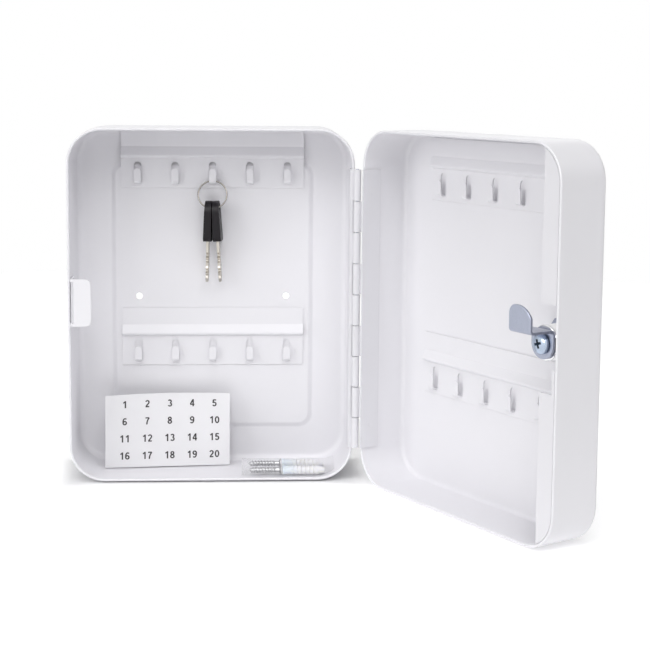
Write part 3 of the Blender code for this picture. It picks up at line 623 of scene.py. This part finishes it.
def make_barrel():
    """Chromed face, threaded shank with a plain first turn, bored through for the plug."""
    face, seat, bore = DOOR_FRONT - 2.3 * MM, DOOR_FRONT - 0.3 * MM, 6.6 * MM
    crest, root, flat, bend = 9 * MM, 8.55 * MM, 10.2 * MM, 0.8 * MM
    rows = [(bore, face + 0.3 * MM), (bore + 0.3 * MM, face), (flat, face)]
    rows += [(flat + bend * sin(radians(turn)), face + bend * (1 - cos(radians(turn))))
             for turn in (20, 40, 60, 90)]
    rows += [(11 * MM, seat), (crest, seat)]
    y = DOOR_FRONT + 2.5 * MM
    while y < BARREL_END - 1.3 * MM:
        rows += [(crest, y), (root, y + 0.4 * MM), (root, y + 0.5 * MM), (crest, y + 0.9 * MM)]
        y += MM
    rows += [(crest, BARREL_END - 0.4 * MM), (crest - 0.4 * MM, BARREL_END),
             (bore + 0.2 * MM, BARREL_END), (bore, BARREL_END - 0.2 * MM)]
    barrel = lathe(rows, LOCK_AXIS, steps=72, closed=True)
    show("barrel", barrel, CHROME, "door", ["lock_barrel"], OPEN_DOOR, sharp=28)


def make_washer_and_nut():
    """Toothed washer and hexagon nut on the barrel's thread, inside the door."""
    inner = DOOR_FRONT + 1.8 * MM
    outline = []
    for tooth in range(24):
        for share, radius in ((0, 10.4), (0.25, 11.4), (0.6, 11.4), (0.85, 10.4)):
            angle = 2 * pi * (tooth + share) / 24
            outline.append((LOCK_X + radius * MM * cos(angle), LOCK_Z + radius * MM * sin(angle)))
    hole = round_hole(LOCK_X, LOCK_Z, THREAD_HOLE, inner - MM, inner + 2 * MM)
    washer = carve(slab(outline, 1, inner, inner + MM), [hole])
    show("washer", washer, ZINC, "door", ["lock_washer"], OPEN_DOOR, soft=0.12 * MM, segments=2)
    start = inner + 1.3 * MM
    end = start + 4.5 * MM
    corner, flat, chamfer = 21 * MM / sqrt(3), 10.5 * MM, 0.9 * MM
    hexagon = [(LOCK_X + x, LOCK_Z + z) for x, z in arc((0, 0), corner, 0, 300, 5)]
    turned = lathe([(flat, start), (corner + 0.1 * MM, start + chamfer),
                    (corner + 0.1 * MM, end - chamfer), (flat, end)], LOCK_AXIS, steps=64)
    nut = carve(slab(hexagon, 1, start, end), [turned], "INTERSECT")
    nut = carve(nut, [round_hole(LOCK_X, LOCK_Z, THREAD_HOLE, start - MM, end + MM)])
    show("nut", nut, ZINC, "door", ["lock_nut"], OPEN_DOOR, soft=0.15 * MM, segments=2)


def make_plug():
    """The turning plug, with a stepped key slot and a slot for each wafer."""
    front, radius = DOOR_FRONT - 2 * MM, 6.3 * MM
    rows = [(0, front), (radius - 0.35 * MM, front), (radius, front + 0.35 * MM),
            (radius, BARREL_END - 0.3 * MM), (radius - 0.3 * MM, BARREL_END), (0, BARREL_END)]
    slot = [(-1.15, -4), (1.15, -4), (1.15, -0.8), (0.35, -0.8), (0.35, 0.7), (1.15, 0.7),
            (1.15, 4), (-1.15, 4), (-1.15, 2.2), (-0.5, 2.2), (-0.5, -1.9), (-1.15, -1.9)]
    slot = [(LOCK_X + x * MM, LOCK_Z + z * MM) for x, z in slot]
    tapped = round_hole(LOCK_X, LOCK_Z, 1.8 * MM, BARREL_END - 4.5 * MM, BARREL_END + MM, 24)
    tools = [slab(slot, 1, front - MM, front + 14.7 * MM), tapped]
    for index in range(5):
        y = front + 3 * MM + index * 2.6 * MM
        tools.append(block((LOCK_X - 2.8 * MM, y - 0.3 * MM, LOCK_Z - 7 * MM),
                           (LOCK_X + 4.8 * MM, y + 1.3 * MM, LOCK_Z + 7 * MM)))
    plug = carve(lathe(rows, LOCK_AXIS, steps=64), tools)
    show("plug", plug, CHROME, "lock_rotor", ["lock_plug"], OPEN_DOOR)


CAM_SHEET = 1.4 * MM
CAM_BASE = BARREL_END + 0.3 * MM + CAM_SHEET / 2


def make_cam():
    """Round-footed base, step and flag with one full shoulder and one long sloping arc."""
    wide, sheet, step, tip = 7.9 * MM, CAM_SHEET, 6.8 * MM, 20.2 * MM
    base = CAM_BASE
    flag = base + 14.9 * MM
    path = filleted([(base, -wide), (base, step), (flag, step), (flag, tip)], 1.6 * MM, 10)
    outline = [(y, LOCK_Z + z) for y, z in thickened(path, sheet)]
    cam = slab(outline, 0, LOCK_X - wide, LOCK_X + wide)
    foot = edges_along(cam, 1, lambda middle: middle.z < LOCK_Z - wide + MM)
    round_edges(cam, foot, wide * 0.985, 20)
    peak, radius = 2.4 * MM, 11.8 * MM
    top, shoulder = LOCK_Z + tip, 4.6 * MM
    drop = radius - sqrt(radius ** 2 - (wide + peak) ** 2)
    curve = [(LOCK_X - wide - MM, top + MM), (LOCK_X - wide - MM, top - drop - 0.6 * MM)]
    for index in range(25):
        along = (wide + peak) * (1 - index / 24)
        curve.append((LOCK_X + peak - along, top - radius + sqrt(radius ** 2 - along ** 2)))
    curve += arc((LOCK_X + wide - shoulder, top - shoulder), shoulder, 90, 0, 16)
    curve += [(LOCK_X + wide + MM, top - shoulder), (LOCK_X + wide + MM, top + MM)]
    waste = slab(curve, 1, flag - 2 * MM, flag + 2 * MM)
    hole = round_hole(LOCK_X, LOCK_Z, 2 * MM, base - 2 * MM, base + 2 * MM, 32)
    show("cam", carve(cam, [waste, hole]), ZINC, "lock_rotor", ["lock_cam"], OPEN_DOOR,
         soft=0.28 * MM)


def make_cam_bolt():
    """Domed screw that holds the cam, with a cross recess that narrows as it goes in; the recess's faces are
    painted dark as its shade.
    """
    under = CAM_BASE + CAM_SHEET / 2 + 0.3 * MM
    head, rim, dome, height = 5.4 * MM, 0.9 * MM, 1.9 * MM, 2.8 * MM
    root, crest = 1.25 * MM, 1.5 * MM
    rows = [(0, under - 6 * MM)]
    for turn in range(12):
        rows += [(root, under - 6 * MM + turn * 0.5 * MM),
                 (crest, under - 5.75 * MM + turn * 0.5 * MM)]
    rows += [(crest, under), (head - 0.3 * MM, under)]
    rows += [(head, under + 0.25 * MM), (head, under + rim)]
    for turn in range(1, 13):
        angle = radians(turn * 7.5)
        rows.append((head * cos(angle), under + rim + dome * sin(angle)))
    rows[-1] = (0, under + height)
    recess, half, short, long = [], 0.6 * MM, 1.35 * MM, 3.9 * MM
    for turn in range(4):
        wing = block((-half, 0, -half), (half, 5 * MM, 2.9 * MM))
        # Shorter and narrower at the bottom
        for vert in wing.verts:
            deep = vert.co.y < MM
            if vert.co.z > 0:
                vert.co.z = short if deep else long
            vert.co.x *= 0.8 if deep else 1.5
        around = Matrix.Rotation(pi / 2 * turn + 0.3, 3, "Y")
        bmesh.ops.rotate(wing, matrix=around, verts=wing.verts)
        bmesh.ops.translate(wing, vec=(LOCK_X, under + 0.6 * MM, LOCK_Z), verts=wing.verts)
        recess.append(wing)
    screw = carve(lathe(rows, LOCK_AXIS, steps=64), recess)
    # Faces inside the cross recess get the second, dark material: painted shade
    for face in screw.faces:
        middle = face.calc_center_median() - Vector((LOCK_X, under, LOCK_Z))
        inside = (middle.x ** 2 + middle.z ** 2) / head ** 2 + ((middle.y - rim) / dome) ** 2
        face.material_index = int(middle.y > 0.5 * MM and inside < 0.965)
    bolt = show("cam_bolt", screw, SCREW_ZINC, "lock_rotor", ["cam_screw"], OPEN_DOOR, sharp=40)
    bolt.data.materials.append(RECESS_PAINTED_SHADE)


make_barrel()
make_washer_and_nut()
make_plug()
make_cam()
make_cam_bolt()


# ---------------------------------------------------------------- keys on their ring

ring_joint = next(j for j in frame["joints"] if j["name"] == "ring_swing")
RING_TOP = Vector(ring_joint["pos_m"])
RING_RADIUS = 8.3 * MM
RING_PLACE = (Matrix.Translation(RING_TOP) @ Matrix.Rotation(radians(-20), 4, "X")
              @ Matrix.Translation(-RING_TOP))


def make_ring():
    """Nearly two turns of wire, lying against each other."""
    centre = RING_TOP - Vector((0, 0, RING_RADIUS))
    path, around = [], 96
    count = 2 * around - 5
    for index in range(count + 1):
        angle = 2 * pi * index / around + 0.3
        along = 1.02 * MM * (index / count - 0.5)
        path.append(centre + Vector((RING_RADIUS * sin(angle), along, RING_RADIUS * cos(angle))))
    show("split_ring", tube(path, 0.4 * MM, 12), RING_STEEL, "ring", ["key_ring"], RING_PLACE,
         sharp=50)


def make_key(number):
    """Tapered plastic head and grooved steel blade, hanging a little turned from the ring."""
    side = (-1, 1)[number - 1]
    splay = radians((1.3, -3.1)[number - 1])
    hole = RING_TOP + Vector((side * 2.15 * MM, 0, 1.1 * MM - 2 * RING_RADIUS))
    turn = (Matrix.Rotation(radians(20), 4, "X") @ Matrix.Rotation(radians(-4), 4, "Z")
            @ Matrix.Rotation(splay, 4, "Y"))
    place = RING_PLACE @ Matrix.Translation(hole) @ turn @ Matrix.Translation(-hole)
    x, y = hole.x, hole.y
    top = hole.z + 3.4 * MM
    foot = top - 23.2 * MM
    thick, deep = 4.72 * MM, 14.8 * MM
    head = block((x - thick / 2, y - deep / 2, foot), (x + thick / 2, y + deep / 2, top))
    round_edges(head, edges_along(head, 0, lambda middle: middle.z > top - MM), 6.6 * MM, 16)
    round_edges(head, edges_along(head, 0, lambda middle: middle.z < foot + MM), 2.6 * MM, 8)
    for vert in head.verts:
        share = (vert.co.z - foot) / (top - foot)
        vert.co.x = x + (vert.co.x - x) * (1 - 0.22 * share)
    tools = [lathe([(2.4 * MM, x - thick), (2.4 * MM, x + thick)], (0, hole.y, hole.z), 0, 40)]
    tools.append(block((x - 1.1 * MM, y - 3.6 * MM, foot - MM),
                       (x + 1.1 * MM, y + 3.6 * MM, foot + 8 * MM)))
    for face in (-1, 1):
        grip = [(4.4 * MM, x + face * 2.05 * MM), (5 * MM, x + face * 3.4 * MM)]
        tools.append(lathe(grip, (0, y, foot + 9.5 * MM), 0, 40))
    show(f"key_{number}_bow", carve(head, tools), BLACK, f"key_{number}", [f"key_{number}_head"],
         place, soft=0.6 * MM, segments=4)
    half, tip, shank = 3.3 * MM, foot - 24 * MM, foot + 7.5 * MM
    outline = [(y + half, shank), (y + half, tip + 2.2 * MM), (y + half - 0.8 * MM, tip + 1.1 * MM),
               (y + 0.5 * MM, tip), (y - 1.2 * MM, tip + 0.1 * MM)]
    spot = tip + 2.4 * MM
    for cut in (0.9, 1.8, 0.6, 1.5, 2.1):
        root = y - half + cut * MM
        outline += [(y - half, spot), (root, spot + MM), (root, spot + 1.8 * MM)]
        spot += 3 * MM
    outline += [(y - half, spot), (y - half, shank)]
    blade = slab(outline, 0, x - 0.75 * MM, x + 0.75 * MM)
    grooves = []
    spans = ((0.4, 2, 0.1, 1.1), (-2, -0.4, 1.4, 2.3), (-2, -0.45, -0.9, -0.3))
    for left, right, near, far in spans:
        grooves.append(block((x + left * MM, y + near * MM, tip - MM),
                             (x + right * MM, y + far * MM, foot - 1.2 * MM)))
    show(f"key_{number}_steel", carve(blade, grooves), NICKEL, f"key_{number}",
         [f"key_{number}_blade"], place, soft=0.12 * MM, segments=2)


make_ring()
make_key(1)
make_key(2)


# ---------------------------------------------------------------- number sheet

PAPER_LOW = SHEET + 0.3 * MM + 0.4 * MM
PAPER_HALF, PAPER_TALL = 36 * MM, 41.5 * MM


def on_sheet(u, v, lift):
    """A place on the curled paper, u from -1 to 1, v from 0 to 1 and lift towards the front."""
    lean = 9 * MM * v - 5 * MM * u * u * v ** 1.5 + 3 * MM * u
    return Vector((-26 * MM + u * PAPER_HALF, PANEL - 17 * MM + lean - lift,
                   PAPER_LOW + v * PAPER_TALL))


def make_paper():
    """The curled sheet as a closed solid: two grids joined along their rim."""
    bm = bmesh.new()
    across, up = 48, 24
    grids = []
    for lift in (0.1 * MM, -0.1 * MM):
        grid = [[bm.verts.new(on_sheet(2 * i / across - 1, j / up, lift)) for j in range(up + 1)]
                for i in range(across + 1)]
        for i in range(across):
            for j in range(up):
                bm.faces.new((grid[i][j], grid[i + 1][j], grid[i + 1][j + 1], grid[i][j + 1]))
        grids.append(grid)
    front, back = grids
    rim = ([(i, 0) for i in range(across)] + [(across, j) for j in range(up)]
           + [(i, up) for i in range(across, 0, -1)] + [(0, j) for j in range(up, 0, -1)])
    for here, after in zip(rim, rim[1:] + rim[:1]):
        bm.faces.new((front[here[0]][here[1]], front[after[0]][after[1]],
                      back[after[0]][after[1]], back[here[0]][here[1]]))
    show("label_sheet", bm, PAPER, "cabinet", ["number_sheet"], sharp=50)


def oval(x, y, wide, tall, start, end):
    """Part of an ellipse, its angles in degrees."""
    angles = [radians(start + (end - start) * step / 18) for step in range(19)]
    return [(x + wide * cos(angle), y + tall * sin(angle)) for angle in angles]


# The digits' pen strokes, in shares of a digit's height
STROKES = {
    "0": [oval(0.28, 0.5, 0.2, 0.417, 90, 452)],
    "1": [[(0.36, 0), (0.36, 1)], [(0.1, 0.73), (0.21, 0.79), (0.31, 0.88), (0.36, 0.97)]],
    "2": [oval(0.275, 0.7, 0.185, 0.217, 165, -35) + [(0.11, 0.12)], [(0.05, 0.083), (0.5, 0.083)]],
    "3": [oval(0.265, 0.725, 0.17, 0.192, 155, -85), oval(0.27, 0.29, 0.2, 0.207, 85, -155)],
    "4": [[(0.4, 0), (0.4, 1)], [(0.36, 0.93), (0.07, 0.34)], [(0.02, 0.28), (0.55, 0.28)]],
    "5": [[(0.5, 0.917), (0.15, 0.917)], [(0.17, 0.95), (0.115, 0.48)],
          oval(0.27, 0.33, 0.2, 0.247, 140, -155)],
    "6": [oval(0.285, 0.31, 0.195, 0.227, 0, 362), oval(0.325, 0.5, 0.235, 0.417, 50, 195)],
    "7": [[(0.05, 0.917), (0.52, 0.917)], [(0.49, 0.9), (0.34, 0.64), (0.25, 0.35), (0.21, 0)]],
    "8": [oval(0.28, 0.735, 0.165, 0.182, 0, 362), oval(0.28, 0.285, 0.2, 0.202, 0, 362)],
}
STROKES["9"] = [[(0.56 - x, 1 - y) for x, y in stroke] for stroke in STROKES["6"]]


def printed(bm, stroke, origin, tall, layer):
    """One pen stroke of ink on the paper; origin is the digit's lower left corner on the sheet."""
    pen, stretch = 0.172, 1.15
    outline = thickened([Vector(point) for point in stroke], pen)
    count = len(stroke)
    levels = []
    for lift in (0.09 * MM, (0.13 + 0.004 * layer) * MM):
        ring = []
        for x, y in outline:
            u = (origin[0] + x * stretch * tall) / PAPER_HALF
            v = (origin[1] + y * tall) / PAPER_TALL
            ring.append(bm.verts.new(on_sheet(u, v, lift)))
        levels.append(ring)
    under, over = levels
    for index in range(count - 1):
        far = 2 * count - 1 - index
        for ring in levels:
            bm.faces.new((ring[index], ring[index + 1], ring[far - 1], ring[far]))
    for index in range(2 * count):
        after = (index + 1) % (2 * count)
        bm.faces.new((under[index], under[after], over[after], over[index]))


def make_digits():
    """Numbers 1 to 20 in four rows of five, printed on the paper's front."""
    bm = bmesh.new()
    tall, advance = 4.1 * MM, 0.777
    for number in range(1, 21):
        row, column = divmod(number - 1, 5)
        # The number's middle, from the sheet's middle and its lower edge
        x, y = (13 * column - 25) * MM, (35.8 - 9.8 * row) * MM
        text = str(number)
        for place, digit in enumerate(text):
            left = x + tall * ((place - len(text) / 2) * advance + 0.066)
            for layer, stroke in enumerate(STROKES[digit]):
                printed(bm, stroke, (left, y - tall / 2), tall, layer)
    show("label_digits", bm, INK, "cabinet", sharp=30)


make_paper()
make_digits()


# ---------------------------------------------------------------- wall fixings in their bag

FIXING_YS = (-4 * MM, -18.3 * MM)
FIXING_Z = SHEET + 3.6 * MM
SCREW_TIP, SCREW_LENGTH = 20.5 * MM, 19.3 * MM


def make_screw(number, y):
    """Countersunk screw with a coarse thread that runs out before the head."""
    around, pitch, rows, length = 28, 1.7 * MM, 120, SCREW_LENGTH
    runout, head = length * 0.86, 2.85 * MM
    shape = []
    for row in range(rows + 1):
        along = length * 0.93 * row / rows
        core = min(1.25 * MM, 0.15 * MM + along * 0.42)
        radii = []
        for step in range(around):
            phase = (along / pitch - step / around) % 1
            crest = max(0.0, 1 - abs(phase - 0.5) * 3.2)
            fade = min(1, max(0, (runout - along) / (1.5 * MM)))
            radius = core + 0.62 * MM * crest * fade * min(1, along / (2 * MM))
            radii.append(max(radius, 1.3 * MM) if along > runout else radius)
        shape.append((along, radii))
    for back, radius in ((1.3 * MM, 1.4 * MM), (0.3 * MM, head), (0, head)):
        shape.append((length - back, [radius] * around))
    bm = bmesh.new()
    rings = []
    for along, radii in shape:
        ring = []
        for step, radius in enumerate(radii):
            angle = 2 * pi * step / around
            ring.append(bm.verts.new((SCREW_TIP + along, y + radius * cos(angle),
                                      FIXING_Z + radius * sin(angle))))
        rings.append(ring)
    skin(bm, rings)
    left, right = SCREW_TIP + length - 1.1 * MM, SCREW_TIP + length + MM
    cross = [block((left, y - wide, FIXING_Z - tall), (right, y + wide, FIXING_Z + tall))
             for wide, tall in ((1.9 * MM, 0.35 * MM), (0.35 * MM, 1.9 * MM))]
    show(f"threaded_screw_{number}", carve(bm, cross), STEEL, "cabinet", [f"wall_screw_{number}"],
         sharp=40)


def make_wall_plug(number, y):
    """Nylon plug: collar, barbed rings and a split end."""
    start = SCREW_TIP + SCREW_LENGTH + 0.6 * MM
    end = start + 24 * MM
    bore, collar = 1.2 * MM, 2.8 * MM
    rows = [(bore, start), (collar, start), (collar, start + MM), (2.4 * MM, start + 1.2 * MM)]
    for ridge in range(7):
        along = start + (4 + 2.3 * ridge) * MM
        rows += [(2.1 * MM, along), (2.5 * MM, along + 1.7 * MM), (2.5 * MM, along + 2 * MM)]
    rows += [(2 * MM, end - 2 * MM), (1.7 * MM, end), (bore, end)]
    bm = lathe(rows, (0, y, FIXING_Z), 0, 36, closed=True)
    slit = block((start + 6 * MM, y - 0.35 * MM, FIXING_Z - 4 * MM),
                 (end + MM, y + 0.35 * MM, FIXING_Z + 4 * MM))
    show(f"nylon_plug_{number}", carve(bm, [slit]), NYLON, "cabinet", [f"wall_plug_{number}"],
         sharp=30)


def make_bag():
    """A flat, slightly crumpled sleeve of film: two skins a hair apart, joined at their ends."""
    middle = sum(FIXING_YS) / 2
    around, rows = 96, 60
    bm = bmesh.new()
    skins = []
    for inner in (0, 1):
        rings = []
        for row in range(rows + 1):
            share = row / rows
            x = (17 + 53 * share) * MM
            mouth = max(0, (share - 0.87) / 0.13)
            lift = 2.4 * MM * mouth ** 1.5
            tall = (3.22 - 1.2 * mouth) * MM
            ring = []
            for step in range(around):
                angle = 2 * pi * step / around
                across = abs(cos(angle)) ** 0.5 * (1 if cos(angle) > 0 else -1)
                over = abs(sin(angle)) ** 0.5 * (1 if sin(angle) > 0 else -1)
                spot = Vector((x, middle + 10.4 * MM * across, FIXING_Z + lift + tall * over))
                wave = noise.noise(Vector((spot.x * 130, spot.y * 170, spot.z * 90 + 5)))
                shrink = 1 - 0.008 * (1 + wave) - inner * 0.008
                spot.y = middle + (spot.y - middle) * shrink
                spot.z = FIXING_Z + lift + (spot.z - FIXING_Z - lift) * (shrink - inner * 0.015)
                ring.append(bm.verts.new(spot))
            rings.append(ring)
        skin(bm, rings, capped=False)
        skins.append(rings)
    for end in (0, -1):
        skin(bm, [rings[end] for rings in skins], capped=False)
    show("film_sleeve", bm, FILM, "cabinet", ["fixings_bag"], sharp=60)


for index, place_y in enumerate(FIXING_YS, 1):
    make_screw(index, place_y)
    make_wall_plug(index, place_y)
make_bag()


# ---------------------------------------------------------------- studio

# Name, place in metres, side in metres and power in watts
LAMPS = [("left_front", (-1.4, -0.9, 0.72), 1.2, 13.8),
         ("top", (0.05, -0.3, 1.6), 1.5, 7),
         ("front", (0.05, -1.9, 0.6), 1.2, 2),
         ("right_front", (1.4, -1.3, 0.6), 1, 0.3),
         ("front_top", (0.05, -1.3, 1.4), 1.2, 13.5),
         ("right_top", (1.2, -0.6, 1.3), 0.9, 4.1),
         ("front_high", (0.05, -1.6, 2), 1.2, 3.4),
         ("behind", (0.1, 1.2, 1.2), 1.2, 3.4)]
LAMP_TARGET = Vector((0.05, -0.03, 0.1))


def area_light(name, place, side, power):
    """A square lamp that the camera doesn't see, aimed at the cabinet."""
    light = bpy.data.lights.new(name, "AREA")
    light.shape = "RECTANGLE"
    light.size = light.size_y = side
    light.energy = power
    lamp = bpy.data.objects.new(name, light)
    lamp.location = place
    lamp.rotation_euler = (LAMP_TARGET - Vector(place)).to_track_quat("-Z", "Y").to_euler()
    lamp.visible_camera = False
    bpy.context.scene.collection.objects.link(lamp)


def light_table():
    """White floor that glows: most behind and at the sides, none under the cabinet's body."""
    made = new_material("studio_floor", (0.95, 0.95, 0.955), 0.9)
    where = node(made, "TexCoord").outputs["Object"]
    folded = node(made, "VectorMath", [("Vector", where)], operation="ABSOLUTE")
    outside = node(made, "VectorMath", [("Vector", folded.outputs["Vector"])],
                   operation="SUBTRACT")
    outside.inputs[1].default_value = (WIDTH / 2, WALL, 0)
    parts = node(made, "SeparateXYZ", [("Vector", outside.outputs["Vector"])])
    away = node(made, "Math", [(0, parts.outputs["X"]), (1, parts.outputs["Y"])],
                operation="MAXIMUM")
    aside = node(made, "SeparateXYZ", [("Vector", folded.outputs["Vector"])]).outputs["X"]
    behind = node(made, "SeparateXYZ", [("Vector", where)]).outputs["Y"]
    back = node(made, "Math", [(0, aside), (2, behind)], operation="MULTIPLY_ADD")
    back.inputs[1].default_value = 0.66
    level = node(made, "MapRange", [("Value", back.outputs[0])],
                 From_Min=-0.3, From_Max=0.3, To_Min=0.12, To_Max=0.5)
    glow = node(made, "MapRange", [("Value", away.outputs[0]), ("To Max", level.outputs["Result"])],
                interpolation_type="SMOOTHSTEP", From_Min=-0.001, From_Max=0.012, To_Min=0)
    shader_of(made).inputs["Emission Color"].default_value = (1, 1, 1, 1)
    made.node_tree.links.new(glow.outputs["Result"], shader_of(made).inputs["Emission Strength"])
    return made


def make_studio():
    """White surroundings that only show and reflect, a round floor and soft lamps."""
    world = bpy.data.worlds.new("studio")
    bpy.context.scene.world = world
    world.use_nodes = True
    background = world.node_tree.nodes["Background"]
    background.inputs["Color"].default_value = (1, 1, 1, 1)
    background.inputs["Strength"].default_value = 1.0
    world.cycles_visibility.diffuse = False
    bm = bmesh.new()
    bmesh.ops.create_circle(bm, cap_ends=True, segments=128, radius=0.9)
    mesh = bpy.data.meshes.new("studio_floor")
    bm.to_mesh(mesh)
    bm.free()
    floor = bpy.data.objects.new("studio_floor", mesh)
    bpy.context.scene.collection.objects.link(floor)
    floor.location.z = -MM
    mesh.materials.append(light_table())
    for lamp in LAMPS:
        area_light(*lamp)
    view = bpy.context.scene.view_settings
    view.view_transform, view.look = "Standard", "None"
    view.exposure, view.gamma = 0, 1


make_studio()
